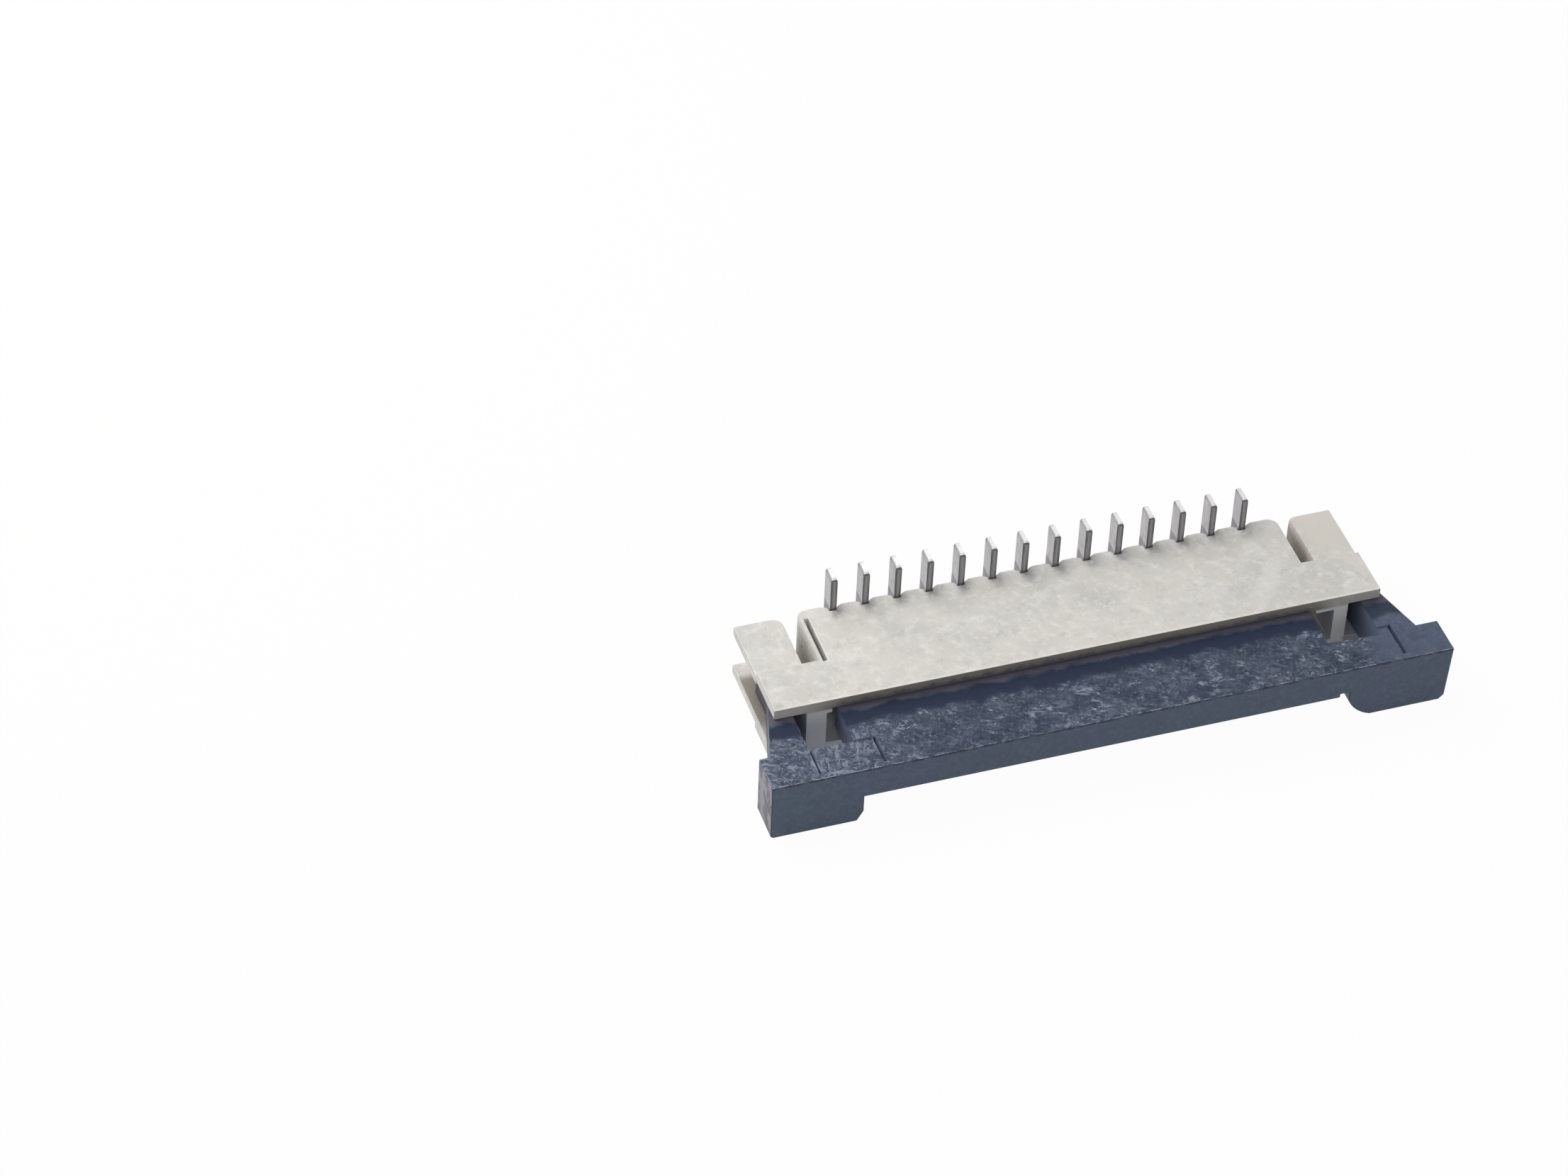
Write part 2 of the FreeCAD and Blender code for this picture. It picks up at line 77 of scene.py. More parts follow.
HOUSING_LOW, HOUSING_HIGH = corners_mm("housing")
SLIDER_LOW, SLIDER_HIGH = corners_mm("slider")
MIDDLE = 0.0
SIDE = HOUSING_HIGH[0]
FRONT = HOUSING_LOW[1]
STRIP_REAR = FRONT + STRIP_DEPTH
EAR_REAR = HOUSING_HIGH[1]
SLOT_FLOOR = HOUSING_LOW[2] + FAR_WALL
PLATE_TOP = HOUSING_HIGH[2]
PLATE_UNDER = PLATE_TOP - PLATE_THICKNESS
SLIDER_LEFT = SLIDER_LOW[0]
SLIDER_FRONT = SLIDER_LOW[1]
SLIDER_TOP = SLIDER_HIGH[2]
ROW_END = (len(CONTACTS) - 1) / 2 * PITCH / MM
TAIL_REAR = corners_mm(CONTACTS[0])[1][1]
TAIL_FRONT = TAIL_REAR - TAIL_WIDTH

# Where a mark lies: its axis (|X| is the distance from the middle), the level that it is measured from,
# and how far from that level it starts and is full, in millimetres
PLACES = {
    "left_half": ("X", MIDDLE, 1.00, -1.00),
    "tail_row": ("|X|", ROW_END, 0.70, 0.40),
    "before_tails": ("Y", TAIL_FRONT, -0.65, -0.10),
    "inside_ears": ("|X|", SIDE, -0.40, -0.60),
    "behind_strip": ("Y", STRIP_REAR, -0.21, 0.29),
    "below_plate_top": ("Z", PLATE_TOP, -0.08, -0.40),
    "deep_in_slot": ("Z", PLATE_TOP, -0.60, -1.50),
    "low_ledge": ("Z", SLOT_FLOOR, 0.25, 0.15),
    "off_ear_rear": ("Y", EAR_REAR, -0.43, -0.78),
    "beside_arm": ("Y", STRIP_REAR, -0.21, -0.91),
    "right_ear": ("X", SIDE, -1.50, -0.90),
    "right_ear_rear": ("Y", STRIP_REAR, 0.29, 0.89),
    "plate_lip": ("Y", FRONT, 0.12, 0.05),
    "strip_height": ("Z", PLATE_UNDER, -0.05, 0.03),
    "strip_front": ("Y", FRONT, 0.05, 0.02),
    "strip_low_edge": ("Z", PLATE_TOP, -0.04, -0.28),
    "off_left_end": ("X", -SIDE, 0.90, 2.50),
    "off_right_end": ("X", SIDE, -1.40, -2.40),
    "right_slot": ("X", SIDE, -1.70, -1.50),
    "right_slot_rear": ("Y", STRIP_REAR, 0.09, 0.59),
    "right_slot_low": ("Z", PLATE_TOP, -0.10, -0.50),
    "under_plate": ("Z", PLATE_UNDER, -0.01, -0.09),
    "mouth_depth": ("Y", FRONT, 1.10, 0.50),
    "mouth_width": ("|X|", SIDE, -0.35, -0.45),
    "lit_wall_foot": ("Z", SLOT_FLOOR, 0.85, 0.05),
    "far_wall": ("Z", SLOT_FLOOR, 0.04, 0.00),
    "right_of_window": ("X", SIDE, -1.15, -0.95),
    "outer_side": ("|X|", SIDE, -0.12, -0.06),
    # The strip in front of the plate that it rubs smooth and that takes its painted shadow, and the painted
    # shade under its edge.
    "rubbed_and_shaded_strip": ("Y", FRONT, -0.96, -0.66),
    "shade_under_plate_edge": ("Y", FRONT, -0.32, -0.10),
    "calm_end": ("X", SIDE, -1.70, -0.30),
    "lighter_end": ("X", -SIDE, 4.30, 1.70),
    "left_window_left": ("X", -SIDE, 0.30, 0.60),
    "left_window_right": ("X", -SIDE, 2.90, 2.60),
    "before_window": ("Y", FRONT, -0.90, -1.10),
    "step_level": ("Z", SLIDER_TOP, -0.10, -0.13),
    "crease_front": ("Y", FRONT, -1.00, -1.12),
    "step_wall": ("Z", SLIDER_TOP, -0.09, -0.07),
    "step_wall_rear": ("Y", SLIDER_FRONT, 0.26, 0.36),
    "lip_height": ("Z", SLIDER_TOP, -0.09, -0.06),
    "lip_front": ("Y", SLIDER_FRONT, 0.16, 0.06),
    "left_arm": ("X", -SIDE, 0.90, 0.70),
    "left_arm_rear": ("Y", FRONT, -0.30, 0.10),
    "window_width": ("|X|", SIDE, -0.25, -0.35),
    "window_height": ("Z", SLIDER_TOP, -0.02, -0.08),
    "left_block_end": ("X", SLIDER_LEFT, 0.40, 0.10),
    "tip_front": ("Y", TAIL_FRONT, 0.045, 0.030),
    "tip_rear": ("Y", TAIL_REAR, -0.050, -0.030),
    "tail_foot": ("Z", PLATE_TOP, 0.10, 0.02),
}

# Which way a face is turned: the axis, and how much of its normal lies along it where a mark starts
# and where it is full
FACINGS = {
    "up": ("Z", 0.70, 0.95),
    "flat_up": ("Z", 0.80, 0.97),
    "forwards": ("Y", -0.60, -0.90),
    "sideways": ("|X|", 0.70, 0.92),
    "left": ("X", -0.70, -0.92),
    "arm_left": ("X", -0.75, -0.95),
    "window_wall": ("|X|", 0.75, 0.95),
    "step_wall": ("Y", -0.30, -0.70),
    "lip": ("Y", -0.30, -0.80),
    "upper_rim": ("Z", 0.15, 0.60),
    "side_rim": ("Z", 0.75, 0.55),
    "slider_upper_rim": ("Z", 0.30, 0.80),
    "slider_lower_rim": ("Z", 0.35, 0.05),
    "sheared_edge": ("|Y|", 0.55, 0.85),
    "tip": ("Z", 0.15, 0.45),
}

# Noise patterns: scale, detail, roughness, and the values of the noise where a mark starts and is full
PATTERNS = {
    "cream_mottle": (3000.0, 4.0, 0.68, 0.47, 0.68),
    "cream_shade": (2100.0, 4.0, 0.66, 0.52, 0.74),
    "flow_patches": (330.0, 2.0, 0.50, 0.52, 0.66),
    "lip_breaks": (1500.0, 3.0, 0.50, 0.36, 0.56),
    # The noise that breaks up the painted shade.
    "shade_noise": (2400.0, 3.0, 0.60, 0.25, 0.60),
    "tail_shadow_breaks": (3800.0, 3.0, 0.60, 0.30, 0.60),
    "slate_mottle": (7000.0, 3.0, 0.68, 0.44, 0.70),
    "slate_faint": (2300.0, 4.0, 0.66, 0.42, 0.68),
    "swell": (1500.0, 4.0, 0.62, 0.38, 0.66),
    "pits": (5200.0, 3.0, 0.60, 0.56, 0.68),
    "fleck_patches": (1900.0, 3.0, 0.60, 0.48, 0.62),
    "seam": (2600.0, 3.0, 0.60, 0.40, 0.55),
    "end_streaks": (4200.0, 4.0, 0.50, 0.42, 0.60),
    "rim_breaks": (3300.0, 3.0, 0.65, 0.46, 0.62),
}

# Marks that repeat with the contacts: how far from a contact's middle they start and are full, in pitches
BESIDE_CONTACT = {
    # The first is a painted shadow in front of each tail.
    "painted_shade": (0.33, 0.05),
    "middle_stripe": (0.035, 0.010),
    "side_stripes": (0.060, 0.085),
    "tip_outline": (0.066, 0.082),
}

# Lamps, and the camera as fitted to the photograph
LAMP_TARGET = (0.0, 0.0, 0.0015)
KEY_LAMP = {"place": (-0.028, 0.038, 0.054), "side": 0.070, "colour": (1.0, 0.99, 0.97)}
FILL_LAMP = {"place": (-0.034, -0.085, 0.062), "side": 0.080, "colour": (0.97, 0.99, 1.0)}
CAMERA_PLACE = (-0.041800, -0.091994, 0.096006)
CAMERA_RIGHT = (0.951245, -0.307024, 0.029487)
CAMERA_UP = (0.186153, 0.647708, 0.738797)
SENSOR_WIDTH = 36.0
FLOOR_DROP = 2 * MICRON

# How a copied mesh is cleaned and softened
MERGE_WITHIN = 0.5 * MICRON
FLAT_WITHIN = math.radians(1)
SMOOTH_UP_TO = math.radians(40)
ROOM_PER_WIDTH = 2.2


# Sizes and colours that a user would change

def edge_width(piece, default, largest):
    """The width of a rounding that a user can change."""
    return bpy.props.FloatProperty(
        name=f"{piece} edge", description=f"Width of the rounding along each edge of the {piece.lower()}",
        default=default, min=4 * MICRON, max=largest, precision=6, subtype="DISTANCE", unit="LENGTH")


class ConnectorEdges(bpy.types.PropertyGroup):
    """How far the edges of each piece are broken."""

    housing_edge: edge_width("Housing", 30 * MICRON, 60 * MICRON)
    slider_edge: edge_width("Slider", 32 * MICRON, 60 * MICRON)
    contact_edge: edge_width("Contact", 14 * MICRON, 20 * MICRON)
    segments: bpy.props.IntProperty(
        name="Segments", description="Faces across each rounding", default=2, min=1, max=4)
    sharp_from: bpy.props.FloatProperty(
        name="Sharp from", description="Edges bent more than this are broken",
        default=math.radians(28), min=math.radians(15), max=math.radians(80), subtype="ANGLE")


def paint(name, description, default):
    """A colour that a user can change."""
    return bpy.props.FloatVectorProperty(name=name, description=description, default=default, min=0, max=1,
                                         subtype="COLOR")


class HousingColours(bpy.types.PropertyGroup):
    """Colours of the cream moulding."""

    cream: paint("Cream", "Housing moulding", (0.725, 0.712, 0.664))
    grey_cloud: paint("Grey cloud", "Cooler patches", (0.628, 0.628, 0.598))
    warm_cloud: paint("Warm cloud", "Warmer patches", (0.715, 0.676, 0.618))
    # Pale also paints the highlights along the plate's front lip and on the upward rims.
    pale: paint("Pale mark", "Scuffs, flow lines and worn edges", (0.860, 0.850, 0.820))
    # Random duller patches, and painted shade on the plate's front edge.
    dull_patch_and_edge_shade: paint("Dull edge", "Rubbed front edge of the plate", (0.400, 0.380, 0.350))
    # Painted shade on the plate's front edge, away from its ends.
    front_edge_shade: paint("Soiled edge", "Front edge of the plate, away from its ends", (0.230, 0.200, 0.150))
    # Painted shade on the lower half of the plate's front edge.
    low_edge_shade: paint("Low edge", "Lower half of the plate's front edge", (0.078, 0.080, 0.112))
    # Painted shade in the slots, on the low ledges and on low faces beside the right window.
    recess_shade: paint("Soiled recess", "Walls of the slots and low ledges", (0.285, 0.250, 0.212))
    # Painted brown shade on the side wall's face in the right slot.
    right_slot_shade: paint("Rusty stain", "Side wall's face in the right slot", (0.250, 0.170, 0.125))
    # Painted bluish shade inside the cable mouth.
    mouth: paint("Mouth", "Inside of the cable mouth, dusted by the slider", (0.540, 0.575, 0.635))
    # Painted light on the two wall ends, with a bluish reflected light on the left one and its foot.
    left_end_light: paint("Left wall end", "End of the left side wall", (0.700, 0.735, 0.790))
    right_end_light: paint("Right wall end", "End of the right side wall", (0.880, 0.865, 0.835))
    lit_wall_foot: paint("Wall foot", "Foot of the left side wall's end", (0.900, 0.920, 0.960))
    # Painted shadow in front of each tail.
    painted_shade: paint("Flux stain", "Stain in front of each tail", (0.300, 0.285, 0.310))
    speck: paint("Speck", "Dark grains", (0.160, 0.140, 0.120))
    grey_edge: paint("Grey edge", "Rims at the two outer sides", (0.420, 0.395, 0.410))


class SliderColours(bpy.types.PropertyGroup):
    """Colours of the slate moulding."""

    slate: paint("Slate", "Smooth sides", (0.085, 0.108, 0.172))
    green_cloud: paint("Green cloud", "Greener patches", (0.080, 0.111, 0.162))
    torn_ground: paint("Torn ground", "Ground between the flecks of the rough face", (0.029, 0.044, 0.076))
    # Real pale flecks, and painted light on the steps' and windows' walls and highlights on the upper rims.
    fleck: paint("Fleck", "Pale torn flecks on the rough face", (0.430, 0.480, 0.610))
    # Real pits and seams, and painted shade in the creases and on the lower rims.
    pit_and_shade: paint("Pit", "Dark pits, creases and seams", (0.012, 0.016, 0.034))
    # Painted shadow of the plate on the face in front of it.
    rubbed_shaded_band: paint("Rubbed band", "Dark band that the plate rubs on the face", (0.0155, 0.0265, 0.0580))
    # Painted brownish shade just under the plate's edge.
    shade_fringe: paint("Fringe", "Brownish fringe of the band, under the plate", (0.128, 0.121, 0.158))
    arm_shade: paint("Arm shade", "Outer side of the left arm, under the plate", (0.050, 0.038, 0.050))
    block_end: paint("Block end", "End face of the left block", (0.118, 0.110, 0.142))
    scrape: paint("Scrape", "Pale scrapes on that end face", (0.400, 0.385, 0.425))


class ContactColours(bpy.types.PropertyGroup):
    """Colours of the tinned strip."""

    tin: paint("Tin", "Rolled faces", (0.405, 0.395, 0.408))
    tin_cloud: paint("Tin cloud", "Paler patches of the rolled faces", (0.440, 0.430, 0.450))
    tin_line: paint("Rolling line", "Pale lines along the rolled faces", (0.660, 0.650, 0.660))
    tin_rim: paint("Tin rim", "Rounded edges", (0.240, 0.230, 0.240))
    # Duller cut metal, painted darker as shade on the faces turned to the front and the back.
    shaded_cut_metal: paint("Sheared edge", "Cut edges", (0.205, 0.195, 0.205))
    shear_line: paint("Shear line", "Paler lines along the cut edges", (0.300, 0.290, 0.300))
    shear_middle: paint("Middle stripe", "Pale stripe down the middle of a cut edge", (0.345, 0.335, 0.345))
    shear_side: paint("Side stripe", "Dark sides of a cut edge", (0.075, 0.070, 0.075))
    # Painted highlight on the upward ends of the tails.
    tip: paint("Tip", "Bright end of a tail", (0.690, 0.680, 0.690))
    tip_outline: paint("Tip outline", "Dark outline of a tail's end", (0.034, 0.033, 0.036))
    tail_foot: paint("Tail foot", "Shade at the foot of a tail", (0.090, 0.082, 0.090))


class ConnectorStage(bpy.types.PropertyGroup):
    """Floor, lights and camera."""

    floor_side: bpy.props.FloatProperty(
        name="Floor", description="Side of the square floor", default=0.8, min=0.1, max=5,
        subtype="DISTANCE", unit="LENGTH")
    floor_colour: paint("Floor colour", "Colour of the floor under the lamps", (0.86, 0.85, 0.83))
    floor_shade: bpy.props.FloatProperty(
        name="Floor shade", description="Share of the floor's own shading that shows", default=0.035, min=0,
        max=1, subtype="FACTOR")
    sky: bpy.props.FloatProperty(
        name="Sky", description="Brightness of the even surrounding light", default=0.38, min=0, max=2)
    key_power: bpy.props.FloatProperty(
        name="Key lamp", description="Power of the soft lamp behind and above", default=0.037, min=0, max=5,
        unit="POWER")
    fill_power: bpy.props.FloatProperty(
        name="Fill lamp", description="Power of the weak soft lamp in front", default=0.014, min=0, max=5,
        unit="POWER")
    lens: bpy.props.FloatProperty(
        name="Lens", description="Focal length of the camera", default=107.68, min=20, max=300,
        unit="CAMERA")


# Node helpers

def add_node(tree, kind, **settings):
    """Adds a node. A setting goes to the property of its name, or else to the input of its name."""
    node = tree.nodes.new(kind)
    for name, value in settings.items():
        if hasattr(node, name):
            setattr(node, name, value)
        else:
            node.inputs[name.replace("_", " ")].default_value = value
    return node


def mix_colours(tree, factor, first, second):
    """A colour between two. Each input is a socket or a plain value."""
    node = add_node(tree, "ShaderNodeMix", data_type="RGBA")
    for socket, value in ((node.inputs[0], factor), (node.inputs[6], first), (node.inputs[7], second)):
        if isinstance(value, bpy.types.NodeSocket):
            tree.links.new(value, socket)
        elif isinstance(value, (int, float)):
            socket.default_value = value
        else:
            socket.default_value = (*value, 1.0)
    return node.outputs[2]


def calculate(tree, operation, first, second=0.0, clamp=False):
    """One step of arithmetic. Each input is a socket or a number."""
    node = add_node(tree, "ShaderNodeMath", operation=operation, use_clamp=clamp)
    for socket, value in zip(node.inputs, (first, second)):
        if isinstance(value, bpy.types.NodeSocket):
            tree.links.new(value, socket)
        else:
            socket.default_value = value
    return node.outputs[0]


def between(tree, value, low, high):
    """0 below low, 1 above high, smooth between."""
    node = add_node(tree, "ShaderNodeMapRange", interpolation_type="SMOOTHSTEP")
    tree.links.new(value, node.inputs["Value"])
    node.inputs["From Min"].default_value = low
    node.inputs["From Max"].default_value = high
    return node.outputs["Result"]


def noise_value(tree, vector, scale, detail=2.0, roughness=0.5):
    node = add_node(tree, "ShaderNodeTexNoise", Scale=scale, Detail=detail, Roughness=roughness)
    tree.links.new(vector, node.inputs["Vector"])
    return node.outputs["Fac"]


def new_group(name, inputs, outputs):
    """A shader node group with float inputs, one vector input and float outputs."""
    group = bpy.data.node_groups.new(name, "ShaderNodeTree")
    group.interface.new_socket("Vector", in_out="INPUT", socket_type="NodeSocketVector")
    for label, value in inputs.items():
        socket = group.interface.new_socket(label, in_out="INPUT", socket_type="NodeSocketFloat")
        socket.default_value = value
    for label in outputs:
        group.interface.new_socket(label, in_out="OUTPUT", socket_type="NodeSocketFloat")
    return group, group.nodes.new("NodeGroupInput"), group.nodes.new("NodeGroupOutput")


def scaled_noise(group, vector, scale, **settings):
    """Noise inside a group, with its scale from a socket."""
    node = add_node(group, "ShaderNodeTexNoise", **settings)
    group.links.new(vector, node.inputs["Vector"])
    group.links.new(scale, node.inputs["Scale"])
    return node.outputs["Fac"]


def moulding_clouds():
    """Soft patches and fine grain of a moulded face."""
    name = "Moulding clouds"
    if name in bpy.data.node_groups:
        return bpy.data.node_groups[name]
    group, given, result = new_group(name, {"Cloud Scale": 700.0, "Grain Scale": 12000.0},
                                     ("Cloud", "Second Cloud", "Grain"))
    links = group.links
    place = given.outputs["Vector"]
    cloud = scaled_noise(group, place, given.outputs["Cloud Scale"], Detail=3.0, Roughness=0.55)
    links.new(between(group, cloud, 0.36, 0.66), result.inputs["Cloud"])
    shift = add_node(group, "ShaderNodeMapping", Location=(0.013, 0.007, 0.003))
    links.new(place, shift.inputs["Vector"])
    finer = calculate(group, "MULTIPLY", given.outputs["Cloud Scale"], 1.7)
    second = scaled_noise(group, shift.outputs["Vector"], finer, Detail=2.0, Roughness=0.5)
    links.new(between(group, second, 0.42, 0.68), result.inputs["Second Cloud"])
    grain = scaled_noise(group, place, given.outputs["Grain Scale"], Detail=2.0, Roughness=0.6)
    links.new(grain, result.inputs["Grain"])
    return group


def turned_and_stretched(group, given, stretch):
    """The group's vector turned by its Turn input, and the same stretched."""
    turn = add_node(group, "ShaderNodeVectorRotate", rotation_type="Z_AXIS")
    group.links.new(given.outputs["Vector"], turn.inputs["Vector"])
    group.links.new(given.outputs["Turn"], turn.inputs["Angle"])
    mapping = add_node(group, "ShaderNodeMapping", Scale=stretch)
    group.links.new(turn.outputs["Vector"], mapping.inputs["Vector"])
    return turn.outputs["Vector"], mapping.outputs["Vector"]


def torn_flecks():
    """Short slivers that run one way, gathered in patches. Amount lowers the cut that they rise over."""
    name = "Torn flecks"
    if name in bpy.data.node_groups:
        return bpy.data.node_groups[name]
    inputs = {"Fleck Scale": 4000.0, "Turn": 0.0, "Amount": 0.5}
    group, given, result = new_group(name, inputs, ("Flecks",))
    scale = given.outputs["Fleck Scale"]
    turned, stretched = turned_and_stretched(group, given, (0.30, 1.0, 0.6))
    slivers = scaled_noise(group, stretched, scale, Detail=1.5, Roughness=0.45, Distortion=0.6)
    coarse = calculate(group, "MULTIPLY", scale, 0.24)
    patches = scaled_noise(group, turned, coarse, Detail=2.0, Roughness=0.6)
    level = calculate(group, "MULTIPLY", given.outputs["Amount"], 0.16)
    cut = calculate(group, "SUBTRACT", 0.70, level)
    above = calculate(group, "SUBTRACT", slivers, cut)
    lip = calculate(group, "MULTIPLY", above, 16.0, clamp=True)
    worn_through = calculate(group, "MULTIPLY", between(group, above, 0.040, 0.080), 0.55)
    sliver = calculate(group, "MULTIPLY", lip, calculate(group, "SUBTRACT", 1.0, worn_through))
    patch = between(group, patches, 0.44, 0.60)
    group.links.new(calculate(group, "MULTIPLY", sliver, patch), result.inputs["Flecks"])
    return group


def torn_strokes():
    """Thin broken strokes for the lips of torn plastic. They follow the noise's middle value."""
    name = "Torn strokes"
    if name in bpy.data.node_groups:
        return bpy.data.node_groups[name]
    inputs = {"Stroke Scale": 4000.0, "Turn": 0.0, "Width": 0.03}
    group, given, result = new_group(name, inputs, ("Strokes",))
    scale = given.outputs["Stroke Scale"]
    turned, stretched = turned_and_stretched(group, given, (0.45, 1.0, 0.5))
    field = scaled_noise(group, stretched, scale, Detail=1.0, Roughness=0.5, Distortion=0.8)
    off = calculate(group, "ABSOLUTE", calculate(group, "SUBTRACT", field, 0.5))
    near = calculate(group, "DIVIDE", off, given.outputs["Width"])
    line = calculate(group, "SUBTRACT", 1.0, near, clamp=True)
    finer = calculate(group, "MULTIPLY", scale, 1.6)
    breaks = scaled_noise(group, turned, finer, Detail=2.0, Roughness=0.6)
    kept = between(group, breaks, 0.50, 0.60)
    group.links.new(calculate(group, "MULTIPLY", line, kept), result.inputs["Strokes"])
    return group


# Finishes

class Finish:
    """A material in the making: masks by place, facing and pattern, and the colour laid so far."""

    def __init__(self, name, cloud_scale, grain_scale):
        self.material = bpy.data.materials.new(name)
        self.material.use_nodes = True
        self.tree = self.material.node_tree
        self.shader = self.tree.nodes["Principled BSDF"]
        where = add_node(self.tree, "ShaderNodeTexCoord")
        self.place = where.outputs["Object"]
        self.spot = self.split(self.place)
        self.facing = self.split(where.outputs["Normal"])
        rim = add_node(self.tree, "ShaderNodeAttribute", attribute_type="GEOMETRY", attribute_name=RIM)
        self.rim = rim.outputs["Fac"]
        clouds = self.group(moulding_clouds(), Cloud_Scale=cloud_scale, Grain_Scale=grain_scale)
        self.cloud = clouds["Cloud"]
        self.second_cloud = clouds["Second Cloud"]
        self.grain = clouds["Grain"]
        self.colour = None

    def split(self, vector):
        """The three numbers of a vector."""
        node = self.tree.nodes.new("ShaderNodeSeparateXYZ")
        self.tree.links.new(vector, node.inputs["Vector"])
        return node.outputs

    def group(self, group, **values):
        """The outputs of a node group placed on the object's coordinates."""
        node = self.tree.nodes.new("ShaderNodeGroup")
        node.node_tree = group
        self.tree.links.new(self.place, node.inputs["Vector"])
        for name, value in values.items():
            node.inputs[name.replace("_", " ")].default_value = value
        return node.outputs

    def mapped(self, **settings):
        """The object's coordinates, moved or stretched."""
        mapping = add_node(self.tree, "ShaderNodeMapping", **settings)
        self.tree.links.new(self.place, mapping.inputs["Vector"])
        return mapping.outputs["Vector"]

    def math(self, operation, first, second=0.0):
        return calculate(self.tree, operation, first, second)

    def product(self, *factors):
        """Masks and shares multiplied."""
        result = factors[0]
        for factor in factors[1:]:
            result = self.math("MULTIPLY", result, factor)
        return result

    def total(self, base, *terms):
        """A base value plus each mask times its weight."""
        result = base
        for mask, weight in terms:
            result = self.math("ADD", result, self.math("MULTIPLY", mask, weight))
        return result

    def opposite(self, mask):
        return self.math("SUBTRACT", 1.0, mask)

    def number(self, numbers, axis):
        """One number of a vector, without its sign for an axis such as |X|."""
        if axis.startswith("|"):
            return self.math("ABSOLUTE", numbers[axis.strip("|")])
        return numbers[axis]

    def at(self, name, drift=None):
        """The mask of a named place. A drift, in metres, makes its edge wander."""
        axis, level, start, full = PLACES[name]
        value = self.number(self.spot, axis)
        if drift is not None:
            value = self.math("ADD", value, drift)
        return between(self.tree, value, (level + start) * MM, (level + full) * MM)

    def turned(self, name):
        """The mask of a named facing."""
        axis, start, full = FACINGS[name]
        return between(self.tree, self.number(self.facing, axis), start, full)

    def pattern(self, name, vector=None):
        """The mask of a named noise pattern."""
        scale, detail, roughness, start, full = PATTERNS[name]
        noise = noise_value(self.tree, vector or self.place, scale, detail, roughness)
        return between(self.tree, noise, start, full)

    def beside_contact(self, name, shift=0.0):
        """The mask of a mark that repeats with the contacts. A negative shift moves it to the right."""
        step = self.math("DIVIDE", self.math("ADD", self.spot["X"], shift), PITCH)
        aside = self.math("ABSOLUTE", self.math("SUBTRACT", self.math("FRACT", step), 0.5))
        return between(self.tree, aside, *BESIDE_CONTACT[name])

    def begin(self, factor, first, second):
        """Starts the colour as a mix of two."""
        self.colour = mix_colours(self.tree, factor, first, second)

    def lay(self, colour, *factors):
        """Lays a colour over what is there, as far as the masks and the share allow."""
        self.colour = mix_colours(self.tree, self.product(*factors), self.colour, colour)

    def done(self, roughness, height, distance, strength):
        """Joins colour, roughness and bump to the shader."""
        bump = add_node(self.tree, "ShaderNodeBump", Strength=strength, Distance=distance)
        self.tree.links.new(height, bump.inputs["Height"])
        self.tree.links.new(bump.outputs["Normal"], self.shader.inputs["Normal"])
        self.tree.links.new(self.colour, self.shader.inputs["Base Color"])
        self.tree.links.new(roughness, self.shader.inputs["Roughness"])
        return self.material


def flow_lines(finish):
    """Thin pale lines where the melt folded, bent round soft patches."""
    wave = add_node(finish.tree, "ShaderNodeTexWave", wave_type="RINGS", rings_direction="Z", Scale=60.0,
                    Distortion=9.0, Detail=2.0, Detail_Scale=0.9, Detail_Roughness=0.5)
    finish.tree.links.new(finish.mapped(Location=(0.0035, -0.0075, 0.0)), wave.inputs["Vector"])
    line = between(finish.tree, wave.outputs["Fac"], 0.93, 0.995)
    return finish.product(line, finish.pattern("flow_patches"))


def dark_specks(finish):
    """A few dark grains, one in every few cells."""
    cells = add_node(finish.tree, "ShaderNodeTexVoronoi", Scale=420.0, Randomness=1.0)
    finish.tree.links.new(finish.place, cells.inputs["Vector"])
    chosen = add_node(finish.tree, "ShaderNodeSeparateColor")
    finish.tree.links.new(cells.outputs["Color"], chosen.inputs["Color"])
    dot = between(finish.tree, cells.outputs["Distance"], 0.034, 0.012)
    return finish.product(dot, between(finish.tree, chosen.outputs["Red"], 0.70, 0.74))


def painted_tail_shadows(finish):
    """A painted soft shadow on the board side, in front of each tail of the row and a little to its right.
    """
    across = finish.beside_contact("painted_shade", shift=-60 * MICRON)
    return finish.product(across, finish.at("before_tails"), finish.at("tail_row"),
                          finish.pattern("tail_shadow_breaks"))


def shaded_recesses(finish, up, shade_noise):
    """Painted shade on the slots' walls, darker deeper down, and on the low ledges but for their rear ends.
    """
    depth = finish.total(0.16, (finish.at("deep_in_slot"), 0.30), (shade_noise, 0.25))
    wall = finish.product(finish.turned("sideways"), finish.at("inside_ears"), finish.at("behind_strip"),
                          finish.at("below_plate_top"), depth)
    ledge = finish.product(up, finish.at("low_ledge"), finish.at("off_ear_rear"),
                           finish.total(1.0, (finish.at("beside_arm"), -0.55)), 0.92)
    return finish.math("MAXIMUM", wall, ledge)


